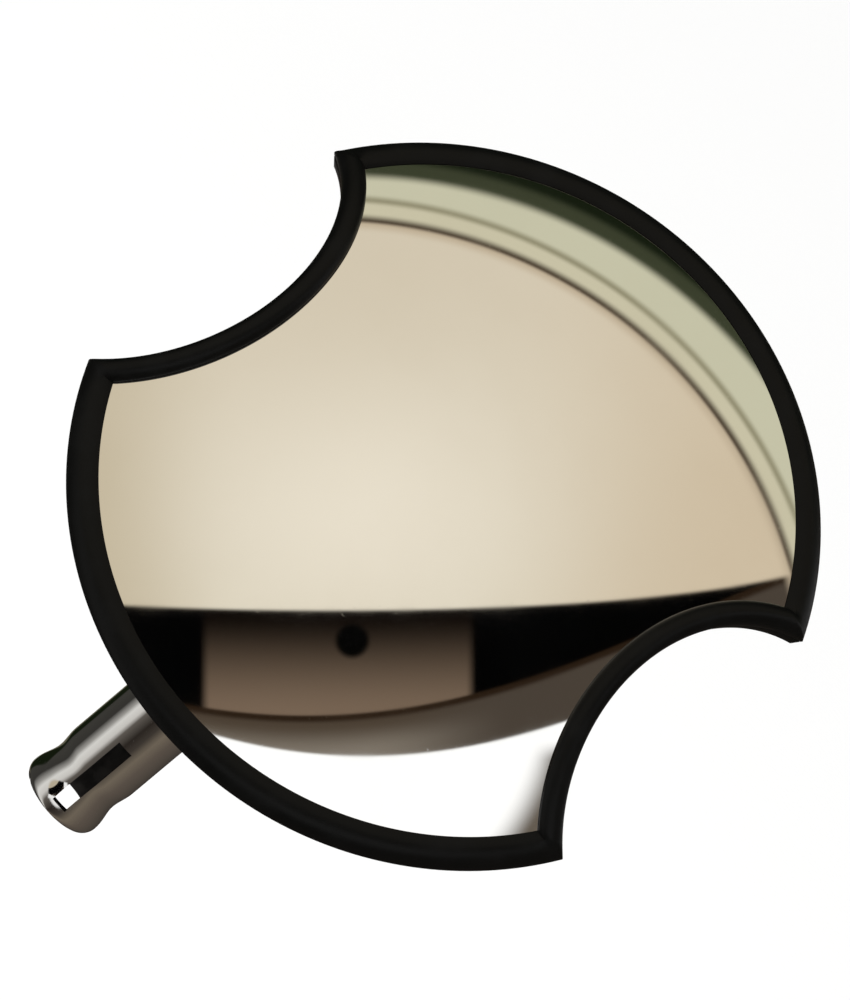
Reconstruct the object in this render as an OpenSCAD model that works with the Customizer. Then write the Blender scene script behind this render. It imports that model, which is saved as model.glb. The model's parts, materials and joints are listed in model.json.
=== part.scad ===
// Convex mirror head with two scalloped sides, on a short chrome arm that slips over a pole.
// Origin: centre of the arm's open mouth. +Z runs up the arm, and the mirror faces -Y and upwards.

/* [Head] */
// Diameter over the edge trim
head_d = 300; // [260:5:320]
// Half width of the trim in the scallops, and width of the rim's trim outside the edge line
trim_r = 5; // [4:0.5:6]
// Width of the rim's trim over the dome, inside the edge line
trim_in = 8.6; // [6:0.2:9]
// Height of the rim's trim above the dome
trim_h = 3; // [2:0.2:4]
// Radius of the mirror's domed face
dome_r = 290; // [250:10:340]
// Angle from the dome's axis to the middle of each scallop, at the dome's centre
bite_polar = 35.3; // [34:0.1:37]
// Half angle of each scallop, at the dome's centre
bite_half = 16.1; // [13:0.1:17]
// Thickness of the acrylic dome
dome_t = 3; // [2:0.5:4]
// Depth of the back pan behind the rim plane
pan_depth = 14; // [12:1:18]
// Wall thickness of the back pan
pan_wall = 2.5; // [2:0.5:3]

/* [Arm] */
// Outer diameter of the arm tube
tube_d = 35; // [34:0.5:38]
// Diameter of the pole that the arm slips over
pole_d = 30; // [28:0.5:30]
// Length of the arm tube
tube_len = 150; // [140:5:170]
// Length of the adjusting slot near the mouth
slot_len = 38; // [20:1:45]
// Width of the adjusting slot
slot_w = 7.2; // [5:0.1:8]
// Turn of the slot about the arm, from the front
slot_turn = 16; // [0:1:90]

/* [Joints] */
// Height of the tilt pivot above the mouth
pivot_z = 194; // [192:1:215]
// Angle of the mirror's face above the horizontal, at rest
face_elev = 41.5; // [30:0.5:60]
// Turn of the head on its hub, at rest
head_turn = 7.5; // [-90:0.5:90]
// Distance from the tilt pivot to the rim plane
pivot_back = 48.3; // [48:0.1:55]
// Sideways offset of the head from the arm
head_offset = 14.3; // [13:0.1:18]

/* [Hidden] */
$fn = 96;
eps = 0.01;
gap = 0.1;           // between pieces that move on each other
run_gap = 0.05;      // radial clearance of a running fit
sharp = 200;         // longer than any cut
over = 1;            // how far joined shapes run into each other, and cuts run past a face
reach = 60;          // from the dome's sphere to the end of a cut

rim_r = head_d / 2 - trim_r;                       // edge line of the dome
sphere_z = -sqrt(dome_r * dome_r - rim_r * rim_r); // centre of the dome's sphere
rim_polar = asin(rim_r / dome_r);
foam_t = 1.5;
foam_inset = 0.3;
edge_inset = 1.2;    // dome edge inside the trim's centre line
pan_inset = 1.8;     // pan wall inside the trim's centre line
pan_draft = 7;       // the pan's back is this much smaller in radius
skirt = 8;           // depth of the trim behind the edge line
grip_angle = asin(0.9 / dome_r);   // from the trim's centre line to the inside of its wall
trim_angle = asin(trim_r / dome_r);
// turn about a scallop's axis from the head's axis to each corner
bite_swing = acos((cos(rim_polar) - cos(bite_half) * cos(bite_polar)) / (sin(bite_half) * sin(bite_polar)));
front_half = (trim_r + trim_in) / 2;
front_r = (front_half * front_half + trim_h * trim_h) / (2 * trim_h);   // the rim's trim, across its front
fit_gap = 0.05;      // between the trim and what it grips

floor_t = pan_wall + 0.5;
plate_t = 2;
back_plate_r = 45;
inner_plate_r = 40;
screw_pcd = 68;
screw_count = 6;
screw_r = 2.5;
screw_len = 14;
screw_head_r = 4.6;
screw_head_h = 1.6;
screw_key_af = 3;
screw_key_h = 1.2;
nut_h = 4;
nut_af = 8;
hub_r = 5;
hub_head_r = 9;
hub_head_h = 4;
hub_nut_h = 6;
hub_nut_af = 17;
hub_key_af = 6;
hub_key_h = 3;
hub_end = -1;        // front end of the hub screw
turn_disc_r = 26;
turn_disc_t = 1.4;
bracket_r = 28;
bracket_t = 5;
disc_top = -pan_depth - plate_t - gap;             // front of the turn disc, in the head's frame
bracket_top = disc_top - turn_disc_t;              // front of the bracket plate
bracket_z = bracket_top - bracket_t;               // rear of the bracket plate
gusset_t = 5;
gusset_y = 8.5;      // from the ear's middle to each gusset's middle
gusset_len = 11;

ear_x = -4;          // face of the bracket's ear towards the neck
ear_t = 10;
ear_r = 15;
ear_bush_r = 6;
disc_r = 14;
disc_t = 1.4;
cheek_r = 15;
cheek_t = 10.4;
cheek_x = ear_x - gap - disc_t - cheek_t;          // far face of the neck's cheek
bolt_r = 4;
bolt_head_h = 5.5;
bolt_af = 13;
bolt_flange_t = 1;
bolt_flange_r = bolt_af / 2 + 1.2;
washer_t = 1.6;
knob_washer_r = 9;
knob_x = ear_x + ear_t + gap + washer_t + gap;     // face of the knob towards the ear
knob_r = 18;
knob_neck = 5;
knob_h = 19;
knob_lobes = 6;
lobe_r = 4.5;
lobe_step = 0.5;     // from the body's edge to the lobes
knob_neck_r = 9.5;
knob_body_r = 15;
insert_r = 6;
insert_len = knob_h - 3.2;
bolt_end = knob_x + knob_h - 5;
cap_h = 1.2;
cap_r = 9;
cap_proud = 0.8;

bore_r = pole_d / 2 + 0.1;
seat_r = bore_r + 0.2;   // above the ledge that the pole stop sits on
tube_r = tube_d / 2;
lip_r = tube_r + 1;
waist_r = tube_r - 1.1;
waist_z = 15.5;
waist_end = 26;
waist_steps = 14;
lip_z = 3;
lip_edge = 1;
slot_z = 5.6;
stop_z = 70;
stop_t = 3;
stop_rim_h = 5;
stop_rim_t = 1.8;
stop_hole_r = 5;
bush_len = 36;
bush_flange = 2;
stem_r = 10;
stem_z = tube_len - bush_len - gap;                // shoulder at the bottom of the stem
thread_r = 6;
thread_len = 16;
stem_nut_h = 10;
stem_nut_af = 19;
stem_nut_boss = 2;
stem_washer_r = 14;
collar_h = 12;
collar_r = 22;
collar_edge = 2;
rib_t = 6;
rib_len = 14;
rib_h = 9;
collar_z = tube_len + bush_flange + gap;
bush_screw_z = tube_len - 12;
bush_screw_r = 2;
bush_screw_len = 6;
bush_screw_x = bore_r - 3.2;   // inner end
bush_head_r = bush_screw_r + 1.4;
bush_head_h = 1.2;
driver_slot = [1, 4.4, 0.7];
driver_depth = 0.5;

// ---- places -------------------------------------------------------------

// The tilt pivot, with +Z towards the mirror's front
module at_pivot() { translate([0, 0, pivot_z]) rotate([90 - face_elev, 0, 0]) children(); }

// The bracket's frame: the hub axis and the rim plane
module at_hub() { at_pivot() translate([head_offset, 0, pivot_back]) children(); }

// The head's own frame, turned on its hub
module at_head() { at_hub() rotate([0, 0, head_turn]) children(); }

// A cylinder along X that starts at x
module along_x(x, len, r) { translate([x, 0, 0]) rotate([0, 90, 0]) cylinder(h = len, r = r); }

module hexagon(af, h) { cylinder(h = h, r = af / 2 / cos(30), $fn = 6); }

// A cut for a round hole through a piece that stands on the XY plane
module hole(t, r) { translate([0, 0, -over]) cylinder(h = t + 2 * over, r = r); }

// ---- the head's outline --------------------------------------------------

// The cone from the dome's centre that bounds each scallop, widened by a distance at the dome
module bite_cones(widen) {
    angle = bite_half + asin(widen / dome_r);
    len = dome_r + reach;
    for (side = [0, 180])
        translate([0, 0, sphere_z]) rotate([0, 0, side]) rotate([0, bite_polar, 0])
            cylinder(h = len, r1 = 0, r2 = len * tan(angle));
}

// The sphere about the dome's centre
module ball(r) { translate([0, 0, sphere_z]) sphere(r = r, $fn = 180); }

// Everything within the pan's outside, drawn in by a distance
module pan_space(inset, floor_z) {
    difference() {
        union() {
            translate([0, 0, floor_z])
                cylinder(h = -floor_z, r1 = rim_r - pan_inset - pan_draft - inset,
                         r2 = rim_r - pan_inset - inset);
            translate([0, 0, -eps]) cylinder(h = reach, r = rim_r - pan_inset - inset);
        }
        bite_cones(pan_inset + inset);
    }
}

// The dome's acrylic, grown all round by a distance
module dome_shell(grow) {
    angle = rim_polar - asin((edge_inset - grow) / dome_r);
    intersection() {
        difference() {
            ball(dome_r + grow);
            ball(dome_r - dome_t - grow);
            bite_cones(edge_inset - grow);
        }
        translate([0, 0, sphere_z]) cylinder(h = dome_r + reach, r1 = 0, r2 = (dome_r + reach) * tan(angle));
    }
}

// Section of the trim at an angle from the axis: a front on a skirt that points to the dome's centre. It is
// open on the dome's side, where the dome and the pan go in
module trim_section(polar, open_from, open_to) {
    far = 2 * dome_r;
    difference() {
        rotate(-polar) translate([0, dome_r]) union() {
            children();
            translate([-trim_r, -skirt]) square([2 * trim_r, skirt]);
        }
        intersection() {
            circle(r = dome_r + fit_gap, $fn = 720);
            polygon([[0, 0], far * [sin(open_from), cos(open_from)], far * [sin(open_to), cos(open_to)]]);
        }
    }
}

// All that lies on the scallop's side of two planes through the dome's centre, which touch the scallop's
// strip at its corners
module bite_wedge() {
    far = 3 * dome_r;
    intersection() {
        for_corner(1) translate([-far, -far / 2, 0]) cube(far);
        for_corner(-1) translate([-far, -far / 2, 0]) cube(far);
        translate([0, -far / 2, 0]) cube(far);
    }
}

module for_corner(corner) {
    rotate([0, bite_polar, 0]) rotate([0, 0, 180 - corner * bite_swing])
        rotate([0, bite_half + asin((trim_r + fit_gap) / dome_r), 0]) children();
}

// The low, wide front of the rim's trim
module rim_front() {
    intersection() {
        translate([trim_r - front_half, trim_h - front_r]) circle(r = front_r);
        translate([-trim_in, -over / 2]) square([2 * front_half, trim_h + over]);
    }
}

// ---- arm -------------------------------------------------------------------

// Outer radius of the tube from the lip to the end of the waist, as two half waves
function neck_r(z) = z < waist_z
    ? waist_r + (lip_r - waist_r) * (1 + cos(180 * (z - lip_z) / (waist_z - lip_z))) / 2
    : waist_r + (tube_r - waist_r) * (1 - cos(180 * (z - waist_z) / (waist_end - waist_z))) / 2;

module at_bush_screws() {
    for (a = [90, 210, 330]) rotate([0, 0, a]) translate([0, 0, bush_screw_z]) children();
}

module socket_tube() {
    step = (waist_end - lip_z) / waist_steps;
    outline = [for (i = [0 : waist_steps]) [neck_r(lip_z + i * step), lip_z + i * step]];
    color("silver") difference() {
        rotate_extrude()
            polygon(concat([[bore_r, 0], [lip_r - lip_edge, 0], [lip_r - 0.3 * lip_edge, 0.8 * lip_edge]],
                           outline,
                           [[tube_r, tube_len], [seat_r, tube_len], [seat_r, stop_z], [bore_r, stop_z]]));
        rotate([0, 0, slot_turn]) translate([-slot_w / 2, -sharp, slot_z]) cube([slot_w, sharp, slot_len]);
        at_bush_screws() along_x(bush_screw_x, sharp, bush_screw_r + run_gap);
    }
}

module pole_stop() {
    color("dimgray") translate([0, 0, stop_z]) difference() {
        cylinder(h = stop_t + stop_rim_h, r = seat_r - fit_gap);
        translate([0, 0, stop_t]) cylinder(h = stop_rim_h + over, r = bore_r - stop_rim_t);
        hole(stop_t, stop_hole_r);
    }
}

module swivel_bush() {
    color("whitesmoke") difference() {
        union() {
            translate([0, 0, tube_len - bush_len]) cylinder(h = bush_len, r = seat_r - fit_gap);
            translate([0, 0, tube_len]) cylinder(h = bush_flange, r = tube_r);
        }
        cylinder(h = sharp, r = stem_r + run_gap);
        at_bush_screws() along_x(bush_screw_x - 3 * gap, sharp, bush_screw_r + fit_gap);
    }
}

module bush_screws() {
    color("gray") at_bush_screws() difference() {
        union() {
            along_x(bush_screw_x, bush_screw_len, bush_screw_r);
            along_x(tube_r, bush_head_h, bush_head_r);
        }
        translate([tube_r + bush_head_h - driver_depth, -driver_slot[1] / 2, -driver_slot[2] / 2])
            cube(driver_slot);
    }
}

// ---- neck ------------------------------------------------------------------

module neck_casting() {
    top_z = collar_z + collar_h;
    color([0.16, 0.16, 0.17]) difference() {
        union() {
            translate([0, 0, stem_z]) cylinder(h = collar_z - stem_z + over, r = stem_r);
            translate([0, 0, stem_z - thread_len]) cylinder(h = thread_len + over, r = thread_r);
            translate([0, 0, collar_z]) cylinder(h = collar_h - collar_edge, r1 = tube_r, r2 = collar_r);
            translate([0, 0, top_z - collar_edge])
                cylinder(h = collar_edge, r1 = collar_r, r2 = collar_r - collar_edge / 2);
            translate([0, 0, pivot_z]) along_x(cheek_x, cheek_t, cheek_r);
            translate([cheek_x, -cheek_r, top_z - collar_edge])
                cube([cheek_t, 2 * cheek_r, pivot_z - top_z + collar_edge]);
            // rib from the cheek down to the middle of the collar
            translate([cheek_x + cheek_t - eps, rib_t / 2, top_z - eps]) rotate([90, 0, 0])
                linear_extrude(rib_t) polygon([[0, 0], [rib_len, 0], [0, rib_h]]);
        }
        translate([0, 0, pivot_z]) along_x(cheek_x - over, cheek_t + 2 * over, bolt_r + run_gap);
    }
}

// The washer bears on the stem's shoulder and keeps the neck in its bush
module stem_washer() {
    color("silver") translate([0, 0, stem_z - washer_t]) difference() {
        cylinder(h = washer_t, r = stem_washer_r);
        hole(washer_t, thread_r + run_gap);
    }
}

module stem_nut() {
    color("gray") translate([0, 0, stem_z - washer_t - stem_nut_h]) difference() {
        union() {
            translate([0, 0, stem_nut_boss]) hexagon(stem_nut_af, stem_nut_h - stem_nut_boss);
            cylinder(h = stem_nut_h, r = stem_nut_af / 2 - 0.4);
        }
        hole(stem_nut_h, thread_r + run_gap);
    }
}

module pivot_bolt() {
    color("lightgray") translate([0, 0, pivot_z]) {
        along_x(cheek_x - over, bolt_end - cheek_x + over, bolt_r);
        translate([cheek_x - bolt_head_h - gap, 0, 0]) rotate([0, 90, 0]) hexagon(bolt_af, bolt_head_h);
        along_x(cheek_x - gap - bolt_flange_t, bolt_flange_t, bolt_flange_r);
    }
}

module ring_x(x, t, r_out, r_in) {
    difference() {
        along_x(x, t, r_out);
        along_x(x - over, t + 2 * over, r_in);
    }
}

module friction_disc() {
    color("sienna") translate([0, 0, pivot_z]) ring_x(cheek_x + cheek_t, disc_t, disc_r, bolt_r + run_gap);
}

module knob_washer() {
    color("silver") translate([0, 0, pivot_z])
        ring_x(ear_x + ear_t + gap, washer_t, knob_washer_r, bolt_r + run_gap);
}

// ---- knob ------------------------------------------------------------------

module clamp_knob() {
    lobe_at = knob_r - lobe_r;
    lobe_h = knob_h - knob_neck - 3 * lobe_step;
    color([0.09, 0.09, 0.1]) translate([0, 0, pivot_z]) difference() {
        union() {
            along_x(knob_x, knob_neck + over, knob_neck_r);
            along_x(knob_x + knob_neck, knob_h - knob_neck, knob_body_r);
            for (i = [0 : knob_lobes - 1]) rotate([i * 360 / knob_lobes, 0, 0]) translate([0, lobe_at, 0])
                along_x(knob_x + knob_neck + lobe_step, lobe_h, lobe_r);
        }
        along_x(knob_x - over, over + insert_len + 2 * gap, insert_r + fit_gap);
        along_x(knob_x + knob_h - cap_h, sharp, cap_r);
    }
}

module knob_insert() {
    color("goldenrod") translate([0, 0, pivot_z]) ring_x(knob_x, insert_len, insert_r, bolt_r + run_gap);
}

module knob_cap() {
    color([0.2, 0.2, 0.2]) translate([0, 0, pivot_z])
        along_x(knob_x + knob_h - cap_h, cap_h + cap_proud, cap_r - fit_gap);
}

// ---- bracket -----------------------------------------------------------------

module tilt_bracket() {
    ear_top = pivot_back + bracket_z + over;
    color([0.16, 0.16, 0.17]) difference() {
        union() {
            at_hub() translate([0, 0, bracket_z]) cylinder(h = bracket_t, r = bracket_r);
            at_pivot() {
                along_x(ear_x, ear_t, ear_r);
                translate([ear_x, -ear_r, 0]) cube([ear_t, 2 * ear_r, ear_top]);
                // gussets from the ear to the plate
                for (y = [-gusset_y, gusset_y])
                    translate([ear_x + ear_t - eps, y + gusset_t / 2, 0]) rotate([90, 0, 0])
                        linear_extrude(gusset_t)
                            polygon([[0, ear_top - gusset_t], [0, ear_top], [gusset_len, ear_top]]);
            }
        }
        at_pivot() along_x(ear_x - over, ear_t + 2 * over, ear_bush_r + fit_gap);
        at_hub() translate([0, 0, bracket_z]) {
            hole(bracket_t, hub_r + run_gap);
            translate([0, 0, -eps]) cylinder(h = hub_head_h + gap, r1 = hub_head_r + gap, r2 = hub_r);
        }
    }
}

module ear_bush() {
    color("whitesmoke") at_pivot() ring_x(ear_x, ear_t, ear_bush_r, bolt_r + run_gap);
}

module turn_disc() {
    color("sienna") at_hub() translate([0, 0, bracket_top]) difference() {
        cylinder(h = turn_disc_t, r = turn_disc_r);
        hole(turn_disc_t, hub_r + run_gap);
    }
}

// ---- head --------------------------------------------------------------------

module hub_screw() {
    color("gray") at_hub() translate([0, 0, bracket_z]) difference() {
        union() {
            cylinder(h = hub_head_h, r1 = hub_head_r, r2 = hub_r);
            translate([0, 0, over]) cylinder(h = hub_end - bracket_z - over, r = hub_r);
        }
        translate([0, 0, -over]) hexagon(hub_key_af, hub_key_h + over);
    }
}

module hub_nut() {
    color("silver") at_hub() translate([0, 0, floor_t - pan_depth + plate_t]) difference() {
        hexagon(hub_nut_af, hub_nut_h);
        hole(hub_nut_h, hub_r + run_gap);
    }
}

// The six places of the ring of screws
module at_screws() {
    for (i = [0 : screw_count - 1]) rotate([0, 0, i * 360 / screw_count])
        translate([screw_pcd / 2, 0, 0]) children();
}

// Cuts for the hub hole and the ring of screw holes
module plate_holes(t) {
    hole(t, hub_r + run_gap);
    at_screws() hole(t, screw_r + fit_gap);
}

module back_plate() {
    color("darkgray") at_head() translate([0, 0, -pan_depth - plate_t]) difference() {
        cylinder(h = plate_t, r = back_plate_r);
        plate_holes(plate_t);
    }
}

module inner_plate() {
    color("darkgray") at_head() translate([0, 0, floor_t - pan_depth]) difference() {
        cylinder(h = plate_t, r = inner_plate_r);
        plate_holes(plate_t);
    }
}

module plate_screws() {
    color("silver") at_head() translate([0, 0, -pan_depth - plate_t]) at_screws() difference() {
        union() {
            cylinder(h = screw_len, r = screw_r);
            translate([0, 0, -screw_head_h])
                cylinder(h = screw_head_h, r1 = screw_head_r - 1, r2 = screw_head_r);
        }
        translate([0, 0, -screw_head_h - over]) hexagon(screw_key_af, screw_key_h + over);
    }
}

module plate_nuts() {
    color("silver") at_head() translate([0, 0, floor_t - pan_depth + plate_t]) at_screws() difference() {
        hexagon(nut_af, nut_h);
        hole(nut_h, screw_r + fit_gap);
    }
}

module back_pan() {
    color([0.1, 0.1, 0.11]) at_head() difference() {
        intersection() {
            pan_space(0, -pan_depth);
            ball(dome_r - dome_t - foam_t);
        }
        intersection() {
            translate([0, 0, floor_t - pan_depth]) cylinder(h = sharp, r = head_d);
            pan_space(pan_wall, -pan_depth);
        }
        translate([0, 0, -pan_depth]) plate_holes(floor_t);
    }
}

module foam_strip() {
    color("dimgray") at_head() intersection() {
        difference() {
            ball(dome_r - dome_t - fit_gap);
            ball(dome_r - dome_t - foam_t + fit_gap);
        }
        difference() {
            pan_space(foam_inset, -pan_depth);
            pan_space(pan_wall, -pan_depth - over);
        }
    }
}

module mirror_dome() {
    color("lightsteelblue") at_head() dome_shell(0);
}

// The two long strips round the outside, which end at the scallops' strips
module outer_trim() {
    color([0.05, 0.05, 0.05]) at_head() translate([0, 0, sphere_z]) difference() {
        rotate_extrude() trim_section(rim_polar, 0, rim_polar - grip_angle) rim_front();
        for (turn = [0, 180]) rotate([0, 0, turn]) bite_wedge();
    }
}

// The two strips in the scallops, whose ends make the corners
module bite_trim() {
    color([0.05, 0.05, 0.05]) at_head() for (side = [0, 180]) intersection() {
        translate([0, 0, sphere_z]) rotate([0, 0, side]) rotate([0, bite_polar, 0])
            rotate_extrude() trim_section(bite_half, bite_half + grip_angle, bite_half + rim_polar)
                circle(r = trim_r);
        translate([0, 0, sphere_z])
            cylinder(h = dome_r + reach, r1 = 0, r2 = (dome_r + reach) * tan(rim_polar + trim_angle));
    }
}

socket_tube();
pole_stop();
swivel_bush();
bush_screws();
neck_casting();
stem_washer();
stem_nut();
pivot_bolt();
friction_disc();
knob_washer();
clamp_knob();
knob_insert();
knob_cap();
tilt_bracket();
ear_bush();
turn_disc();
hub_screw();
hub_nut();
back_plate();
inner_plate();
plate_screws();
plate_nuts();
back_pan();
foam_strip();
mirror_dome();
outer_trim();
bite_trim();
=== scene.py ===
"""A convex mirror head with two scalloped sides on a short chrome arm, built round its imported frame."""
import json
from math import acos, asin, cos, pi, radians, sin, sqrt

import bmesh
import bpy
from bpy.props import FloatProperty, FloatVectorProperty, IntProperty, PointerProperty
from mathutils import Matrix, Vector


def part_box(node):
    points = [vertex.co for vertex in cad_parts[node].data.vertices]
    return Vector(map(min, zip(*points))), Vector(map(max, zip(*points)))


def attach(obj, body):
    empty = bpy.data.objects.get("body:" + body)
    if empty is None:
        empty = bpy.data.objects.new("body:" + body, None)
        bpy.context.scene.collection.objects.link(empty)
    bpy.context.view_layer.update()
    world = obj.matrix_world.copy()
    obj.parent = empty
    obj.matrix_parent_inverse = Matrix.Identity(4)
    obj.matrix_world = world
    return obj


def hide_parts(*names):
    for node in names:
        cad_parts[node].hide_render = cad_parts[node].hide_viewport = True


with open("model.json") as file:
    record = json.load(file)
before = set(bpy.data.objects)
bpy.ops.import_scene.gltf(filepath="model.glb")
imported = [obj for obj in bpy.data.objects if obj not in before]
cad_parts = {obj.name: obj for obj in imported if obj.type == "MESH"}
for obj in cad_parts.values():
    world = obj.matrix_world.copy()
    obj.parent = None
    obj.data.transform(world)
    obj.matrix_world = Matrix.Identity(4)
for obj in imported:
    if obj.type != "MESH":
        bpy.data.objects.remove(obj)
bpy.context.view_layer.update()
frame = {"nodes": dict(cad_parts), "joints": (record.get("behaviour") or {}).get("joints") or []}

bl_info = {
    "name": "Convex mirror on a pole arm",
    "version": (1, 0, 0),
    "blender": (4, 5, 0),
    "location": "View3D > Sidebar > Mirror",
    "description": "Builds a scalloped convex mirror, its edge trim and its chrome arm",
    "category": "Add Mesh",
}

MM = 0.001
JOINTS = {joint["name"]: joint for joint in frame["joints"]}


# ---- sizes and colours -------------------------------------------------------

def length(name, description, default):
    """A size in metres, given in millimetres."""
    return FloatProperty(name=name, description=description, default=default * MM, min=0.0,
                         subtype="DISTANCE", unit="LENGTH", precision=5)


def turn(name, description, default):
    """An angle, given in degrees."""
    return FloatProperty(name=name, description=description, default=radians(default),
                         subtype="ANGLE", unit="ROTATION")


def colour(name, description, default):
    return FloatVectorProperty(name=name, description=description, default=default, size=3,
                               min=0.0, max=1.0, subtype="COLOR")


def share(name, description, default):
    """A number from 0 to 1."""
    return FloatProperty(name=name, description=description, default=default, min=0.0, max=1.0,
                         subtype="FACTOR")


class HeadSizes(bpy.types.PropertyGroup):
    """Sizes of the domed face and its trim."""
    dome_radius: length("Dome radius", "Radius of the mirror's face", 290.0)
    dome_thickness: length("Acrylic", "Thickness of the dome", 3.0)
    edge_radius: length("Edge radius", "Radius of the edge line", 145.0)
    edge_inset: length("Edge inset", "Dome's edge inside the edge line", 1.2)
    bite_polar: turn("Scallop place", "From the dome's axis to a scallop's middle, at its centre", 35.3)
    bite_half: turn("Scallop half angle", "Half angle of a scallop at the dome's centre", 16.1)
    head_turn: turn("Head turn", "Turn of the head on its hub at rest", 7.5)
    trim_radius: length("Trim radius", "Half width of the trim in the scallops", 4.96)
    trim_over: length("Trim over the dome", "Reach of the rim's trim over the dome", 8.6)
    trim_height: length("Trim height", "Height of the rim's trim above the dome", 3.0)
    trim_skirt: length("Trim skirt", "Depth of the trim behind the edge line", 8.0)
    trim_grip: length("Trim grip", "Inside of the trim's wall, inside the edge line", 0.9)
    rings: IntProperty(name="Rings", description="Rings of faces across the dome", default=44, min=8, max=120)
    arc_steps: IntProperty(name="Arc steps", description="Faces along each stretch of the edge", default=88,
                           min=16, max=240)


class ArmSizes(bpy.types.PropertyGroup):
    """Sizes of the arm tube and the knob."""
    tube_radius: length("Tube radius", "Outer radius of the arm", 17.5)
    bore_radius: length("Bore radius", "Inner radius at the mouth", 15.1)
    seat_radius: length("Seat radius", "Inner radius above the pole stop", 15.3)
    seat_height: length("Seat height", "Height of the ledge under the pole stop", 70.0)
    tube_length: length("Tube length", "Length of the arm tube", 150.0)
    lip_radius: length("Lip radius", "Outer radius of the rolled lip", 18.5)
    lip_height: length("Lip height", "Height of the lip's widest place", 3.0)
    waist_radius: length("Waist radius", "Outer radius of the waist above the lip", 16.4)
    waist_height: length("Waist height", "Height of the waist's narrowest place", 15.5)
    waist_end: length("Waist end", "Height where the waist ends", 26.0)
    slot_width: length("Slot width", "Width of the adjusting slot", 7.2)
    slot_start: length("Slot start", "Lower end of the adjusting slot", 5.6)
    slot_length: length("Slot length", "Length of the adjusting slot", 38.0)
    slot_turn: turn("Slot turn", "Turn of the slot from the front", 16.0)
    knob_radius: length("Knob radius", "Outer radius over the knob's lobes", 18.0)
    knob_waist: length("Knob valley radius", "Radius between the knob's lobes", 15.0)
    knob_lobes: IntProperty(name="Lobes", description="Lobes round the knob", default=6, min=3, max=12)


class MirrorFinishes(bpy.types.PropertyGroup):
    """Colours of the finishes."""
    mirror: colour("Mirror", "Tint of the mirror", (0.93, 0.925, 0.905))
    trim: colour("Trim", "Edge trim", (0.0022, 0.0022, 0.002))
    chrome: colour("Chrome", "Polished plate on the arm", (0.74, 0.735, 0.72))
    pan: colour("Pan", "Moulded back pan", (0.02, 0.02, 0.021))
    coat: colour("Powder coat", "Cast neck and bracket", (0.028, 0.028, 0.03))
    knob: colour("Knob", "Moulded knob", (0.018, 0.018, 0.018))
    zinc: colour("Zinc", "Plated fasteners", (0.6, 0.6, 0.59))
    plate: colour("Plate", "Plated sheet", (0.5, 0.5, 0.49))
    brass: colour("Brass", "Turned insert", (0.72, 0.53, 0.24))
    nylon: colour("Nylon", "Bushes", (0.84, 0.83, 0.78))
    fibre: colour("Fibre", "Friction discs", (0.28, 0.16, 0.09))
    foam: colour("Foam", "Tape under the dome", (0.055, 0.055, 0.055))
    floor: colour("Floor", "Floor under the mirror", (0.97, 0.97, 0.965))
    gloss: share("Mirror haze", "Roughness of the mirror", 0.03)


# ---- shader maths --------------------------------------------------------------

class Wire:
    """A node's output that takes part in Python expressions, which add Math nodes."""

    def __init__(self, board, socket):
        self.board = board
        self.socket = socket

    def maths(self, operation, first, second=None):
        inputs = {0: first} if second is None else {0: first, 1: second}
        return self.board.node("ShaderNodeMath", {"operation": operation}, inputs)

    def __add__(self, other):
        return self.maths("ADD", self, other)

    def __radd__(self, other):
        return self.maths("ADD", other, self)

    def __sub__(self, other):
        return self.maths("SUBTRACT", self, other)

    def __rsub__(self, other):
        return self.maths("SUBTRACT", other, self)

    def __mul__(self, other):
        return self.maths("MULTIPLY", self, other)

    def __rmul__(self, other):
        return self.maths("MULTIPLY", other, self)

    def __abs__(self):
        return self.maths("ABSOLUTE", self)


class Board:
    """A node tree that is filled by one method for every kind of node."""

    def __init__(self, tree):
        self.tree = tree

    def node(self, kind, settings=None, inputs=None, output=0):
        made = self.tree.nodes.new(kind)
        for name, value in (settings or {}).items():
            if name == "stops":
                for index, (place, shade) in enumerate(value):
                    stop = (made.color_ramp.elements[index] if index < 2
                            else made.color_ramp.elements.new(place))
                    stop.position = place
                    stop.color = (*shade, 1.0)
            else:
                setattr(made, name, value)
        for name, value in (inputs or {}).items():
            if isinstance(value, Wire):
                self.tree.links.new(value.socket, made.inputs[name])
            else:
                made.inputs[name].default_value = value
        return Wire(self, made.outputs[output])

    def mix(self, factor, first, second):
        """A colour between two colours, given as wires or triples."""
        shades = [shade if isinstance(shade, Wire) else (*shade, 1.0) for shade in (first, second)]
        return self.node("ShaderNodeMix", {"data_type": "RGBA", "clamp_factor": True},
                         {0: factor, 6: shades[0], 7: shades[1]}, output=2)

    def smooth(self, value, low, high, floor=0.0, top=1.0):
        """The value eased from one range to another."""
        return self.node("ShaderNodeMapRange", {"interpolation_type": "SMOOTHSTEP"},
                         {"Value": value, "From Min": low, "From Max": high, "To Min": floor, "To Max": top})

    def place(self):
        return self.node("ShaderNodeTexCoord", output=3)

    def along(self, view, axis):
        """How far a way of looking goes along an axis."""
        return self.node("ShaderNodeVectorMath", {"operation": "DOT_PRODUCT"},
                         {0: view, 1: tuple(axis)}, output=1)

    def stretched(self, scale):
        """The place on the object, with each axis scaled by itself."""
        return self.node("ShaderNodeVectorMath", {"operation": "MULTIPLY"}, {0: self.place(), 1: scale})

    def noise(self, scale, detail=3.0, roughness=0.5, at=None):
        return self.node("ShaderNodeTexNoise", inputs={
            "Vector": at or self.place(), "Scale": scale, "Detail": detail, "Roughness": roughness})

    def cells(self, scale, at=None):
        """Distance to the middle of the nearest grain."""
        return self.node("ShaderNodeTexVoronoi", inputs={"Vector": at or self.place(), "Scale": scale})


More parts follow.
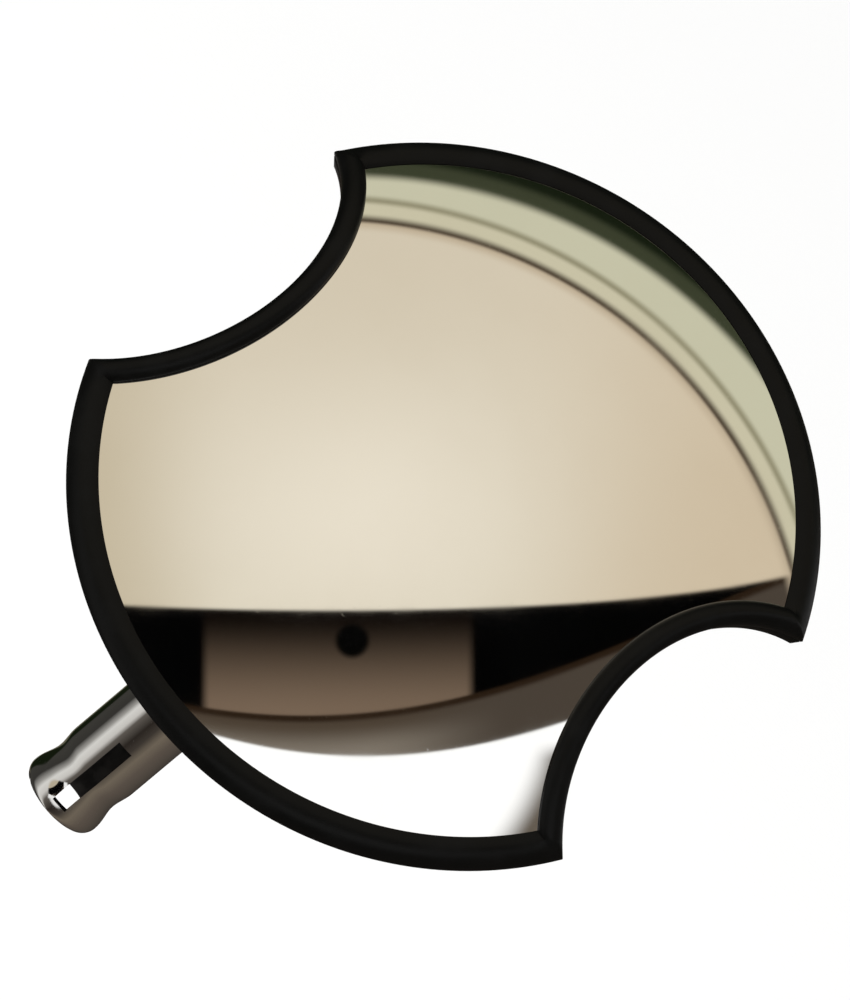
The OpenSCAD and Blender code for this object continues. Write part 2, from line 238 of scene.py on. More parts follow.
class Finish(Board):
    """A material with one shader, whose varying sockets are fed by wires."""

    def __init__(self, name, shade, roughness, metallic=0.0, **constants):
        self.material = bpy.data.materials.new(name)
        self.material.use_nodes = True
        super().__init__(self.material.node_tree)
        self.shader = self.tree.nodes["Principled BSDF"]
        self.shader.inputs["Base Color"].default_value = (*shade, 1.0)
        self.shader.inputs["Roughness"].default_value = roughness
        self.shader.inputs["Metallic"].default_value = metallic
        for name, value in constants.items():
            self.shader.inputs[name.replace("_", " ").title().replace("Ior", "IOR")].default_value = value
        self.material.diffuse_color = (*shade, 1.0)

    def feed(self, socket, wire):
        self.tree.links.new(wire.socket, self.shader.inputs[socket])

    def relief(self, *layers):
        """Bumps one on another, each a height wire and its depth in metres."""
        before = None
        for height, depth in layers:
            inputs = {"Height": height, "Distance": depth, "Strength": 1.0}
            if before is not None:
                inputs["Normal"] = before
            before = self.node("ShaderNodeBump", inputs=inputs)
        self.feed("Normal", before)


FINISHES = {}


def finish(name):
    """The finish of that name, made once."""
    if name not in FINISHES:
        FINISHES[name] = MAKERS[name](bpy.context.scene.mirror_finishes).material
    return FINISHES[name]


def mirror_finish(shades):
    """Silvered acrylic: a sharp mirror with faint dust, a cloudy film and a slow ripple."""
    made = Finish("mirror_silver", tuple(shades.mirror), shades.gloss, 1.0,
                  coat_weight=0.5, coat_roughness=0.02, coat_ior=1.49)
    dust = made.smooth(made.noise(900.0, 2.0), 0.66, 0.78)
    film = made.smooth(made.noise(28.0, 3.0), 0.4, 0.75)
    made.feed("Roughness", shades.gloss + film * 0.02 + dust * 0.05)
    made.feed("Base Color", made.mix(film * 0.25, tuple(shades.mirror), (0.88, 0.865, 0.83)))
    made.relief((made.noise(9.0, 1.0), 0.00005))
    return made


def trim_finish(shades):
    """Satin black flexible strip with a dry bloom and fine die lines."""
    made = Finish("trim_black_vinyl", tuple(shades.trim), 0.42, specular_ior_level=0.1)
    bloom = made.smooth(made.noise(60.0, 4.0), 0.45, 0.8)
    grain = made.noise(2600.0, 2.0)
    made.feed("Base Color", made.mix(bloom * 0.5, tuple(shades.trim), (0.005, 0.005, 0.0048)))
    made.feed("Roughness", 0.36 + bloom * 0.16)
    made.relief((grain, 0.00004), (made.noise(110.0, 2.0), 0.00006))
    return made


def chrome_finish(shades):
    """Bright plate with handling marks, faint drawn lines and pinholes all over."""
    made = Finish("chrome_bright_plate", tuple(shades.chrome), 0.05, 1.0)
    smear = made.smooth(made.noise(42.0, 4.0, 0.6), 0.42, 0.72)
    drawn = made.noise(1.0, 2.0, at=made.stretched((900.0, 900.0, 14.0)))
    pits = made.smooth(made.cells(520.0), 0.02, 0.09, 1.0, 0.0)
    made.feed("Roughness", 0.05 + smear * 0.07 + pits * 0.25)
    plate = made.mix(smear * 0.3, tuple(shades.chrome), (0.66, 0.645, 0.62))
    made.feed("Base Color", made.mix(pits * 0.5, plate, (0.3, 0.27, 0.23)))
    made.relief((drawn, 0.000006), (made.noise(24.0, 1.0), 0.00008))
    return made


def bore_steel_and_painted_shade_finish(shades):
    """The tube's unplated inside: steel with drawing lines, its near-black colour partly painted shade inside
    the tube.
    """
    # painted shade: the steel is set near black, darker than bare steel, standing for the shade inside the
    # tube
    steel = (0.035, 0.031, 0.028)
    made = Finish("tube_bore_steel_and_painted_shade", steel, 0.6, 0.6)
    stain = made.smooth(made.noise(90.0, 4.0), 0.4, 0.7)
    made.feed("Base Color", made.mix(stain, steel, (0.014, 0.012, 0.011)))
    made.feed("Roughness", 0.55 + stain * 0.25)
    made.relief((made.noise(1.0, 3.0, at=made.stretched((700.0, 700.0, 40.0))), 0.00006),)
    return made


def pan_finish(shades):
    """Moulded plastic with an even leather-like grain and a few scuffs."""
    made = Finish("pan_moulded_black", tuple(shades.pan), 0.55, specular_ior_level=0.4)
    grain = made.cells(1500.0)
    scuff = made.smooth(made.noise(1.0, 5.0, 0.7, at=made.stretched((24.0, 160.0, 60.0))), 0.6, 0.72)
    made.feed("Base Color", made.mix(scuff * 0.35, tuple(shades.pan), (0.075, 0.073, 0.07)))
    made.feed("Roughness", 0.52 + grain * 0.25 - scuff * 0.1)
    made.relief((grain, 0.00009), (made.noise(35.0, 2.0), 0.0002))
    return made


def coat_finish(shades):
    """Powder coat: a soft orange peel with small chips."""
    made = Finish("cast_powder_coat", tuple(shades.coat), 0.45, specular_ior_level=0.5)
    peel = made.noise(700.0, 2.0)
    chips = made.smooth(made.cells(130.0), 0.03, 0.07, 1.0, 0.0)
    made.feed("Base Color", made.mix(chips * 0.6, tuple(shades.coat), (0.24, 0.24, 0.245)))
    made.feed("Roughness", 0.38 + peel * 0.2)
    made.relief((peel, 0.00012), (made.noise(60.0, 2.0), 0.0002))
    return made


def knob_finish(shades):
    """Glossy moulded nylon, rubbed in random patches."""
    made = Finish("knob_moulded_nylon", tuple(shades.knob), 0.3, coat_weight=0.15, coat_roughness=0.2)
    rub = made.smooth(made.noise(150.0, 4.0), 0.5, 0.75)
    made.feed("Base Color", made.mix(rub * 0.4, tuple(shades.knob), (0.05, 0.05, 0.05)))
    made.feed("Roughness", 0.26 + rub * 0.22)
    made.relief((made.cells(1300.0), 0.00004),)
    return made


def plated(name, shade, tone, lines):
    """Plated steel with fine lines along one direction and cloudy patches."""
    made = Finish(name, tuple(shade), 0.3, 1.0)
    cloud = made.smooth(made.noise(75.0, 4.0), 0.4, 0.72)
    grain = made.noise(1.0, 3.0, at=made.stretched(lines))
    made.feed("Base Color", made.mix(cloud * 0.6, tuple(shade), tone))
    made.feed("Roughness", 0.2 + cloud * 0.16 + grain * 0.14)
    made.relief((grain, 0.00003),)
    return made


def zinc_finish(shades):
    return plated("zinc_plated_steel", shades.zinc, (0.47, 0.48, 0.5), (500.0, 2200.0, 500.0))


def plate_finish(shades):
    return plated("plate_plated_sheet", shades.plate, (0.38, 0.38, 0.39), (120.0, 1800.0, 1800.0))


def brass_finish(shades):
    return plated("brass_turned", shades.brass, (0.5, 0.34, 0.15), (2600.0, 200.0, 200.0))


def nylon_finish(shades):
    """Natural nylon, slightly cloudy."""
    made = Finish("nylon_natural", tuple(shades.nylon), 0.4, subsurface_weight=0.15, subsurface_scale=0.002)
    cloud = made.noise(120.0, 3.0)
    made.feed("Base Color", made.mix(cloud, tuple(shades.nylon), (0.74, 0.71, 0.63)))
    made.feed("Roughness", 0.34 + cloud * 0.2)
    made.relief((made.noise(1400.0, 2.0), 0.00003),)
    return made


def fibre_finish(shades):
    """Pressed fibre with short strands."""
    made = Finish("fibre_pressed", tuple(shades.fibre), 0.85)
    strands = made.noise(1.0, 4.0, 0.7, at=made.stretched((1500.0, 300.0, 900.0)))
    dark = made.smooth(strands, 0.35, 0.7)
    made.feed("Base Color", made.mix(dark, tuple(shades.fibre), (0.13, 0.07, 0.04)))
    made.feed("Roughness", 0.75 + strands * 0.2)
    made.relief((strands, 0.00015),)
    return made


def foam_finish(shades):
    """Closed-cell foam tape."""
    made = Finish("foam_tape", tuple(shades.foam), 0.95)
    cells = made.cells(1800.0)
    made.feed("Base Color", made.mix(cells, (0.02, 0.02, 0.02), tuple(shades.foam)))
    made.feed("Roughness", 0.85 + cells * 0.12)
    made.relief((cells, 0.0002),)
    return made


def floor_finish(shades):
    """Pale seamless floor with the faintest mottle."""
    made = Finish("floor_pale", tuple(shades.floor), 0.9, specular_ior_level=0.1)
    mottle = made.noise(3.0, 3.0)
    made.feed("Base Color", made.mix(mottle * 0.3, tuple(shades.floor), (0.95, 0.95, 0.945)))
    made.relief((made.noise(220.0, 2.0), 0.0002),)
    return made


MAKERS = {
    "mirror": mirror_finish, "trim": trim_finish, "chrome": chrome_finish, "bore_steel_and_shade": bore_steel_and_painted_shade_finish,
    "pan": pan_finish, "coat": coat_finish, "knob": knob_finish, "zinc": zinc_finish,
    "plate": plate_finish, "brass": brass_finish, "nylon": nylon_finish, "fibre": fibre_finish,
    "foam": foam_finish, "floor": floor_finish,
}


# ---- making pieces ---------------------------------------------------------------

def make_piece(name, bm, material, sharp=radians(38)):
    """A smooth-shaded object from a bmesh, creased where its faces meet at more than an angle."""
    bmesh.ops.recalc_face_normals(bm, faces=bm.faces)
    mesh = bpy.data.meshes.new(name)
    bm.to_mesh(mesh)
    bm.free()
    mesh.polygons.foreach_set("use_smooth", [True] * len(mesh.polygons))
    mesh.set_sharp_from_angle(angle=sharp)
    mesh.materials.append(material)
    piece = bpy.data.objects.new(name, mesh)
    bpy.context.scene.collection.objects.link(piece)
    return piece


def stitch(bm, rows, closed=True, ring=True):
    """Faces between each row of vertices and the next; each row and the set of rows may close."""
    count = len(rows)
    for i in range(count if ring else count - 1):
        here, there = rows[i], rows[(i + 1) % count]
        size = len(here)
        for j in range(size if closed else size - 1):
            k = (j + 1) % size
            bm.faces.new((here[j], here[k], there[k], there[j]))


def settle(piece, body, slot, *nodes):
    """The piece rides on its body and stands for its CAD nodes, which are hidden; the slot is not used."""
    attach(piece, body)
    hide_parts(*nodes)


def soften(node, material, width=0.0, segments=3):
    """A CAD node gets its finish, and broken edges of that width."""
    part = frame["nodes"][node]
    part.data.materials.clear()
    part.data.materials.append(material)
    if width:
        edge = part.modifiers.new("broken_edges", "BEVEL")
        edge.width = width
        edge.segments = segments
        edge.limit_method = "ANGLE"
        edge.angle_limit = radians(50)
        edge.harden_normals = True
    return part


class Dome:
    """The dome's own frame, and the scalloped outline as directions from its centre."""

    def __init__(self, sizes):
        hub = JOINTS["head_turn"]
        axis = Vector(hub["axis"]).normalized()
        across = Vector((1.0, 0.0, 0.0))
        self.turned = (across * cos(sizes.head_turn) + axis.cross(across) * sin(sizes.head_turn)).normalized()
        self.axis = axis
        self.side = axis.cross(self.turned)
        self.radius = sizes.dome_radius
        self.rim = asin(sizes.edge_radius / sizes.dome_radius)
        self.bite_polar = sizes.bite_polar
        self.bite_half = sizes.bite_half
        drop = sqrt(sizes.dome_radius ** 2 - sizes.edge_radius ** 2)
        self.centre = Vector(hub["pos_m"]) - axis * drop

    def direction(self, polar, around):
        return (self.axis * cos(polar) + (self.turned * cos(around) + self.side * sin(around)) * sin(polar))

    def point(self, direction, radius):
        return self.centre + direction * radius

    def corner(self, rim, half):
        """Turn about the axis at which the rim and a scallop of those angles meet."""
        return acos((cos(half) - cos(rim) * cos(self.bite_polar)) / (sin(rim) * sin(self.bite_polar)))

    def outline(self, grow, steps, bite_grow=None):
        """Directions round the edge moved outwards by an angle, as four stretches from corner to corner.
        The scallops' stretches may have an angle of their own."""
        rim = self.rim + grow
        half = self.bite_half - (grow if bite_grow is None else bite_grow)
        corner = self.corner(rim, half)
        # the corner's place on the scallop's own circle
        swing = acos((cos(rim) - cos(half) * cos(self.bite_polar)) / (sin(half) * sin(self.bite_polar)))
        stretches = []
        for turned in (0.0, pi):
            middle = self.direction(self.bite_polar, turned)
            inward = (self.axis - middle * self.axis.dot(middle)).normalized()
            sideways = middle.cross(inward)
            bite = []
            for i in range(steps):
                around = swing * (2 * i / steps - 1)
                ring = inward * cos(around) - sideways * sin(around)
                bite.append(middle * cos(half) + ring * sin(half))
            stretches.append(bite)
            start, end = turned + corner, turned + pi - corner
            stretches.append([self.direction(rim, start + (end - start) * i / steps) for i in range(steps)])
        return stretches


# ---- operators ---------------------------------------------------------------------

class MIRROR_OT_face(bpy.types.Operator):
    """Make the silvered acrylic dome with its scalloped sides"""
    bl_idname = "mirror.face"
    bl_label = "Mirror face"

    def execute(self, context):
        sizes = context.scene.head_sizes
        dome = Dome(sizes)
        inset = -asin(sizes.edge_inset / dome.radius)
        edge = [d for stretch in dome.outline(inset, sizes.arc_steps) for d in stretch]
        if len(edge) < 16:
            raise RuntimeError("the dome's outline has too few points")
        bm = bmesh.new()
        skins = []
        for radius in (dome.radius, dome.radius - sizes.dome_thickness):
            top = bm.verts.new(dome.point(dome.axis, radius))
            rows = []
            for ring in range(1, sizes.rings + 1):
                row = []
                for direction in edge:
                    polar = dome.axis.angle(direction) * ring / sizes.rings
                    flat = (direction - dome.axis * dome.axis.dot(direction)).normalized()
                    row.append(bm.verts.new(dome.point(dome.axis * cos(polar) + flat * sin(polar), radius)))
                rows.append(row)
            stitch(bm, rows, ring=False)
            for i, vertex in enumerate(rows[0]):
                bm.faces.new((top, vertex, rows[0][(i + 1) % len(edge)]))
            skins.append(rows[-1])
        stitch(bm, skins, ring=False)
        piece = make_piece("dome_face", bm, finish("mirror"))
        self.true_normals(piece.data, dome, sizes)
        settle(piece, "head", "mirror_face", "mirror_dome")
        return {"FINISHED"}

    @staticmethod
    def true_normals(mesh, dome, sizes):
        """The sphere's own normals on the front, so that reflections run without facets."""
        front = dome.radius - sizes.dome_thickness / 4
        normals = []
        for face in mesh.polygons:
            on_front = all((mesh.vertices[v].co - dome.centre).length > front for v in face.vertices)
            for v in face.vertices:
                out = (mesh.vertices[v].co - dome.centre).normalized()
                normals.append(out if on_front else face.normal)
        mesh.normals_split_custom_set(normals)


class MIRROR_OT_edge_trim(bpy.types.Operator):
    """Make the black trim that grips the dome and the pan, mitred at its four corners"""
    bl_idname = "mirror.edge_trim"
    bl_label = "Edge trim"

    @staticmethod
    def section(sizes, reach, height):
        """Places across the trim and outwards from the sphere: a curved front, a lip and a skirt."""
        outer, skirt, grip = sizes.trim_radius, sizes.trim_skirt, sizes.trim_grip
        soft = outer / 8
        half = (outer + reach) / 2
        bend = (half * half + height * height) / (2 * height)
        swing = acos((bend - height) / bend)
        arc = 26
        points = []
        for i in range(1, arc):
            angle = swing * (2 * i / arc - 1)
            points.append((outer - half + bend * sin(angle), height - bend + bend * cos(angle)))
        points += [(outer, 0.0), (outer, -skirt * 0.16), (outer - soft * 0.35, -skirt * 0.2)]
        points += [(outer, -skirt * 0.24), (outer, -skirt + soft), (outer - soft * 0.3, -skirt + soft * 0.3)]
        points += [(outer - soft, -skirt), (-grip + soft / 2, -skirt), (-grip, -skirt + soft / 2)]
        points += [(-grip, 0.0), (-reach + soft, 0.06 * MM), (-reach + soft * 0.25, 0.2 * MM)]
        return points

    def execute(self, context):
        sizes = context.scene.head_sizes
        dome = Dome(sizes)
        bm = bmesh.new()
        lines = []
        rim_section = self.section(sizes, sizes.trim_over, sizes.trim_height)
        bite_section = self.section(sizes, sizes.trim_radius, sizes.trim_radius)
        for (rim_across, rim_out), (bite_across, bite_out) in zip(rim_section, bite_section):
            stretches = dome.outline(asin(rim_across / (dome.radius + rim_out)), sizes.arc_steps,
                                     asin(bite_across / (dome.radius + bite_out)))
            line = []
            for number, stretch in enumerate(stretches):
                here, there = (bite_out, rim_out) if number % 2 == 0 else (rim_out, bite_out)
                for i, direction in enumerate(stretch):
                    # a stretch starts at a mitre, at the mean of the two sections' heights
                    out = (here + there) / 2 if i == 0 else here
                    line.append(bm.verts.new(dome.point(direction, dome.radius + out)))
            lines.append(line)
        stitch(bm, lines)
        piece = make_piece("edge_trim", bm, finish("trim"))
        settle(piece, "head", "black_trim", "outer_trim", "bite_trim")
        return {"FINISHED"}


class MIRROR_OT_chrome_arm(bpy.types.Operator):
    """Turn the chrome arm with its rolled lip and waist, and cut its adjusting slot"""
    bl_idname = "mirror.chrome_arm"
    bl_label = "Chrome arm"

    LIP_RINGS, WAIST_RINGS, TUBE_RINGS = 8, 30, 26
    LIP_ROLL = 2.2
    NEAR_SLOT_END = 0.3 * MM

    @staticmethod
    def outer(sizes, z):
        """Outer radius at a height: a rolled lip, a waist and then straight."""
        if z < sizes.lip_height:
            return sizes.lip_radius - MM * (1 - z / sizes.lip_height) ** MIRROR_OT_chrome_arm.LIP_ROLL
        if z < sizes.waist_height:
            part = (z - sizes.lip_height) / (sizes.waist_height - sizes.lip_height)
            return sizes.waist_radius + (sizes.lip_radius - sizes.waist_radius) * (1 + cos(pi * part)) / 2
        part = min(1.0, (z - sizes.waist_height) / (sizes.waist_end - sizes.waist_height))
        return sizes.waist_radius + (sizes.tube_radius - sizes.waist_radius) * (1 - cos(pi * part)) / 2

    def execute(self, context):
        sizes = context.scene.arm_sizes
        slot_end = sizes.slot_start + sizes.slot_length
        heights = [0.0]
        for low, high, rings in ((0.0, sizes.lip_height, self.LIP_RINGS),
                                 (sizes.lip_height, sizes.waist_end, self.WAIST_RINGS),
                                 (sizes.waist_end, sizes.tube_length, self.TUBE_RINGS)):
            heights += [low + (high - low) * i / rings for i in range(1, rings + 1)]
        heights = [h for h in heights
                   if min(abs(h - sizes.slot_start), abs(h - slot_end)) > self.NEAR_SLOT_END]
        heights = sorted(heights + [sizes.slot_start, slot_end])
        around, across = 150, 8
        bm = bmesh.new()

        def ring(radius, z):
            """Vertices that start at one side of the slot and come back to it across the slot."""
            half = asin(sizes.slot_width / 2 / radius)
            angles = [half + (2 * pi - 2 * half) * i / around for i in range(around)]
            angles += [-half + 2 * half * i / across for i in range(across)]
            front = sizes.slot_turn - pi / 2
            return [bm.verts.new((radius * cos(a + front), radius * sin(a + front), z)) for a in angles]

        walls = []
        for skin in ("outer", "inner"):
            rows = []
            for z in heights:
                inner = sizes.bore_radius if z < sizes.seat_height else sizes.seat_radius
                if skin == "inner" and z < MM / 2:
                    inner += MM / 2 - z
                rows.append(ring(self.outer(sizes, z) if skin == "outer" else inner, z))
            walls.append(rows)
        first, last = heights.index(sizes.slot_start), heights.index(slot_end)
        size = around + across
        for rows in walls:
            for i in range(len(heights) - 1):
                for j in range(size):
                    if first <= i < last and j >= around:
                        continue
                    k = (j + 1) % size
                    bm.faces.new((rows[i][j], rows[i][k], rows[i + 1][k], rows[i + 1][j]))
        outside, inside = walls
        for end in (0, -1):
            stitch(bm, [outside[end], inside[end]], ring=False)
        for j in (around, 0):
            for i in range(first, last):
                bm.faces.new((outside[i][j], outside[i + 1][j], inside[i + 1][j], inside[i][j]))
        for i in (first, last):
            for j in range(around, size):
                k = (j + 1) % size
                bm.faces.new((outside[i][j], outside[i][k], inside[i][k], inside[i][j]))
        piece = make_piece("chrome_arm", bm, finish("chrome"))
        piece.data.materials.append(finish("bore_steel_and_shade"))
        # faces nearer the axis than the middle of the thinnest wall are the unplated bore, whose near-black
        # colour is partly painted shade
        limit = (sizes.bore_radius + sizes.waist_radius) / 2
        for face in piece.data.polygons:
            if all(Vector(piece.data.vertices[v].co[:2]).length < limit for v in face.vertices):
                face.material_index = 1
        settle(piece, "arm", "chrome_tube", "socket_tube")
        return {"FINISHED"}


class MIRROR_OT_knob(bpy.types.Operator):
    """Make the lobed clamp knob with soft edges, and finish its insert and cap"""
    bl_idname = "mirror.knob"
    bl_label = "Clamp knob"

    def execute(self, context):
        sizes = context.scene.arm_sizes
        low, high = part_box("clamp_knob")
        cap_low, cap_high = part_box("knob_cap")
        insert_low, insert_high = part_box("knob_insert")
        centre = Vector(JOINTS["tilt"]["pos_m"])
        cap_radius = (cap_high.z - cap_low.z) / 2
        insert_radius = (insert_high.z - insert_low.z) / 2
        neck_radius = 9.5 * MM
        neck_end = low.x + 5 * MM
        edge = 2.2 * MM
        root_scale, back_round, front_round = 0.72, 0.16, 0.2
        lobe_sharpness = 1.6

        def lobed(share_of_lobe, part):
            return (sizes.knob_waist + (sizes.knob_radius - sizes.knob_waist) * share_of_lobe) * part

        steps = 6
        # each station along X: place, scale of the lobed outline, or a plain radius
        stations = [(low.x, None, insert_radius), (low.x, None, neck_radius - edge / 4),
                    (low.x + edge / 4, None, neck_radius), (neck_end - edge / 4, None, neck_radius)]
        stations += [(neck_end, root_scale, None)]
        for i in range(steps + 1):
            bend = pi / 2 * i / steps
            stations.append((neck_end + edge * (1 - cos(bend)), 1 - back_round * (1 - sin(bend)), None))
        for i in range(steps + 1):
            bend = pi / 2 * i / steps
            stations.append((high.x - edge * (1 - sin(bend)), 1 - front_round * (1 - cos(bend)), None))
        stations += [(high.x, None, cap_radius + edge / 3), (high.x - edge / 8, None, cap_radius),
                     (cap_low.x, None, cap_radius), (cap_low.x, None, insert_radius),
                     (insert_high.x, None, insert_radius)]
        around = 180
        bm = bmesh.new()
        rows = []
        for x, scale, radius in stations:
            row = []
            for j in range(around):
                angle = 2 * pi * j / around
                lobe = (0.5 + 0.5 * cos(sizes.knob_lobes * angle)) ** lobe_sharpness
                reach = radius if radius else lobed(lobe, scale)
                row.append(bm.verts.new((x, centre.y + reach * cos(angle), centre.z + reach * sin(angle))))
            rows.append(row)
        stitch(bm, rows)
        piece = make_piece("lobed_knob", bm, finish("knob"), radians(50))
        settle(piece, "knob", "black_knob", "clamp_knob")
        soften("knob_insert", finish("brass"), 0.3 * MM)
        soften("knob_cap", finish("knob"), 0.5 * MM)
        return {"FINISHED"}


class MIRROR_OT_castings(bpy.types.Operator):
    """Finish the cast neck and the tilting bracket"""
    bl_idname = "mirror.castings"
    bl_label = "Castings"

    def execute(self, context):
        for node in ("neck_casting", "tilt_bracket"):
            soften(node, finish("coat"), 0.8 * MM, 4)
        return {"FINISHED"}


class MIRROR_OT_fittings(bpy.types.Operator):
    """Finish the bushes, discs, washers, nuts and screws"""
    bl_idname = "mirror.fittings"
    bl_label = "Fittings"

    def execute(self, context):
        looks = {
            "zinc": ("pole_stop", "bush_screws", "stem_washer", "stem_nut", "pivot_bolt", "knob_washer",
                     "hub_screw", "hub_nut", "plate_screws", "plate_nuts"),
            "nylon": ("swivel_bush", "ear_bush"),
            "fibre": ("friction_disc", "turn_disc"),
        }
        for look, nodes in looks.items():
            for node in nodes:
                soften(node, finish(look), 0.2 * MM, 2)
        return {"FINISHED"}


class MIRROR_OT_back(bpy.types.Operator):
    """Finish the back pan, its two plates and the foam tape"""
    bl_idname = "mirror.back"
    bl_label = "Back"

    def execute(self, context):
        soften("back_pan", finish("pan"), 0.8 * MM)
        for node in ("back_plate", "inner_plate"):
            soften(node, finish("plate"), 0.3 * MM, 2)
        soften("foam_strip", finish("foam"))
        return {"FINISHED"}


class MIRROR_OT_stage(bpy.types.Operator):
    """Set the camera, the floor, the lights and the room that the mirror reflects"""
    bl_idname = "mirror.stage"
    bl_label = "Stage"

    AZIMUTH = radians(9.61)
    ELEVATION = radians(21.1)
    ROLL = radians(50)
    DISTANCE = 2.9
    LENS = 269.2
    AIM_LEFT, AIM_BELOW = 0.00896, 0.00039
    FLOOR_HALF, FLOOR_CUTS, FLOOR_HEIGHT = 14.0, 28, -0.9

    def axes(self):
        """The camera's right, its up, and the way towards it."""
        flat = Vector((sin(self.AZIMUTH), -cos(self.AZIMUTH), 0.0))
        toward = flat * cos(self.ELEVATION) + Vector((0, 0, sin(self.ELEVATION)))
        level = Vector((cos(self.AZIMUTH), sin(self.AZIMUTH), 0.0))
        upright = toward.cross(level)
        up = upright * cos(self.ROLL) - level * sin(self.ROLL)
        return up.cross(toward), up, toward

    def execute(self, context):
        right, up, toward = self.axes()
        scene = context.scene
        scene.view_settings.view_transform = "Standard"
        aim = Vector(JOINTS["head_turn"]["pos_m"]) - right * self.AIM_LEFT - up * self.AIM_BELOW
        lens = bpy.data.cameras.new("viewpoint")
        lens.sensor_width = 36
        lens.lens = self.LENS
        lens.clip_end = 100
        camera = bpy.data.objects.new("viewpoint", lens)
        camera.matrix_world = Matrix((right, up, toward)).transposed().to_4x4()
        camera.location = aim + toward * self.DISTANCE
        scene.collection.objects.link(camera)
        scene.camera = camera
        self.floor()
        self.lights(scene, aim, right, up, toward)
        self.room(scene, right, up, toward)
        return {"FINISHED"}

    def floor(self):
        bm = bmesh.new()
        half, cuts = self.FLOOR_HALF, self.FLOOR_CUTS
        rows = [[bm.verts.new((half * (2 * i / cuts - 1), half * (2 * j / cuts - 1), self.FLOOR_HEIGHT))
                 for j in range(cuts + 1)] for i in range(cuts + 1)]
        stitch(bm, rows, closed=False, ring=False)
        floor = make_piece("floor", bm, finish("floor"))
        floor.visible_glossy = False

    def lights(self, scene, aim, right, up, toward):
        """Two large soft lamps; the mirror doesn't show them."""
        for name, place, size, power in (
                ("key", toward * 1.6 + up * 1.6 - right * 1.0, 1.6, 26.0),
                ("fill", toward * 1.4 - up * 1.1 + right * 1.5, 1.8, 10.0)):
            lamp = bpy.data.lights.new(name, "AREA")
            lamp.size = size
            lamp.energy = power
            holder = bpy.data.objects.new(name, lamp)
            holder.location = aim + place
            holder.rotation_euler = place.to_track_quat("Z", "Y").to_euler()
            holder.visible_glossy = False
            scene.collection.objects.link(holder)

    def room(self, scene, right, up, toward):
        """White for the eye and for shade, and a plain room for reflections."""
        world = bpy.data.worlds.new("studio")
        world.use_nodes = True
        scene.world = world
        board = Board(world.node_tree)
        for node in list(board.tree.nodes):
            board.tree.nodes.remove(node)
        view = board.node("ShaderNodeTexCoord", output=0)
        # how far a way of looking goes to the right, up and towards the viewer
        a, e, c = (board.along(view, axis) for axis in (right, up, toward))
        shine = self.room_shade(board, a, e, c)
        glossy_ray = board.node("ShaderNodeLightPath", output="Is Glossy Ray")
        shade = board.mix(glossy_ray, (1.0, 1.0, 1.0), self.tube_shade(board, view, (a, e, c), shine, toward))
        lit = board.node("ShaderNodeBackground", inputs={"Color": shade, "Strength": 1.0})
        out = board.tree.nodes.new("ShaderNodeOutputWorld")
        board.tree.links.new(lit.socket, out.inputs["Surface"])

    def tube_shade(self, board, view, parts, shine, toward):
        """What the arm shows, well to the side of what the dome shows: dim walls with one bright strip."""
        a, e, c = parts
        arm = Vector((0.0, 0.0, 1.0))
        across = arm.cross(toward).normalized()
        facing = across.cross(arm)
        # twice the turn round the arm at which this way is seen, from the side that faces the viewer
        sideways = board.along(view, across)
        around = sideways.maths("ARCTAN2", sideways, board.along(view, facing))
        stops = ((-3.1, (0.02, 0.019, 0.017)), (-2.0, (0.055, 0.053, 0.047)), (-1.45, (0.045, 0.043, 0.039)),
                 (-1.12, (0.4, 0.39, 0.37)), (-0.92, (0.86, 0.85, 0.82)), (-0.62, (0.74, 0.72, 0.69)),
                 (-0.4, (0.14, 0.125, 0.11)), (0.1, (0.03, 0.024, 0.02)), (0.5, (0.06, 0.05, 0.042)),
                 (0.95, (0.2, 0.165, 0.125)), (1.5, (0.13, 0.105, 0.085)), (2.2, (0.09, 0.075, 0.062)),
                 (3.1, (0.035, 0.03, 0.026)))
        place = board.node("ShaderNodeMapRange", inputs={"Value": around, "From Min": -pi, "From Max": pi})
        ramp = [((at + pi) / (2 * pi), shade) for at, shade in stops]
        tube = board.node("ShaderNodeValToRGB", {"stops": ramp}, {"Fac": place})
        low = board.smooth(e, -0.1, -0.16) * board.smooth(c, 0.84, 0.78)
        aside = board.smooth(a, -0.6, -0.66)
        return board.mix(low.maths("MAXIMUM", low, aside), shine, tube)

    def room_shade(self, board, a, e, c):
        """A pale ceiling over a dark wall with a brown panel, a grey ledge and a white floor."""
        ceiling = board.mix(board.smooth(e, 0.3, 1.0), (0.76, 0.695, 0.56), (0.69, 0.61, 0.475))
        ceiling = board.mix(board.smooth(a, 0.3, 0.95), ceiling, (0.66, 0.55, 0.4))
        ceiling = board.mix(board.smooth(a, -0.2, -0.6), ceiling, (0.6, 0.52, 0.38))
        glow = board.smooth(abs(a - 0.1), 0.75, 0.0) * board.smooth(abs(e - 0.5), 0.5, 0.0)
        ceiling = board.mix(glow * 0.85, ceiling, (0.88, 0.81, 0.68))
        wall = (0.0004, 0.0004, 0.0004)
        panel = board.mix(board.smooth(e, 0.24, -0.06), (0.0035, 0.0022, 0.0014), (0.2, 0.14, 0.096))
        in_panel = board.smooth(a, -0.35, -0.32) * board.smooth(a, 0.4, 0.37)
        wall = board.mix(in_panel, wall, panel)
        spot_right, spot_up = a - 0.066, e - 0.167
        from_spot = spot_right * spot_right + spot_up * spot_up
        wall = board.mix(board.smooth(from_spot, 0.003, 0.0012), wall, (0.0012, 0.0012, 0.001))
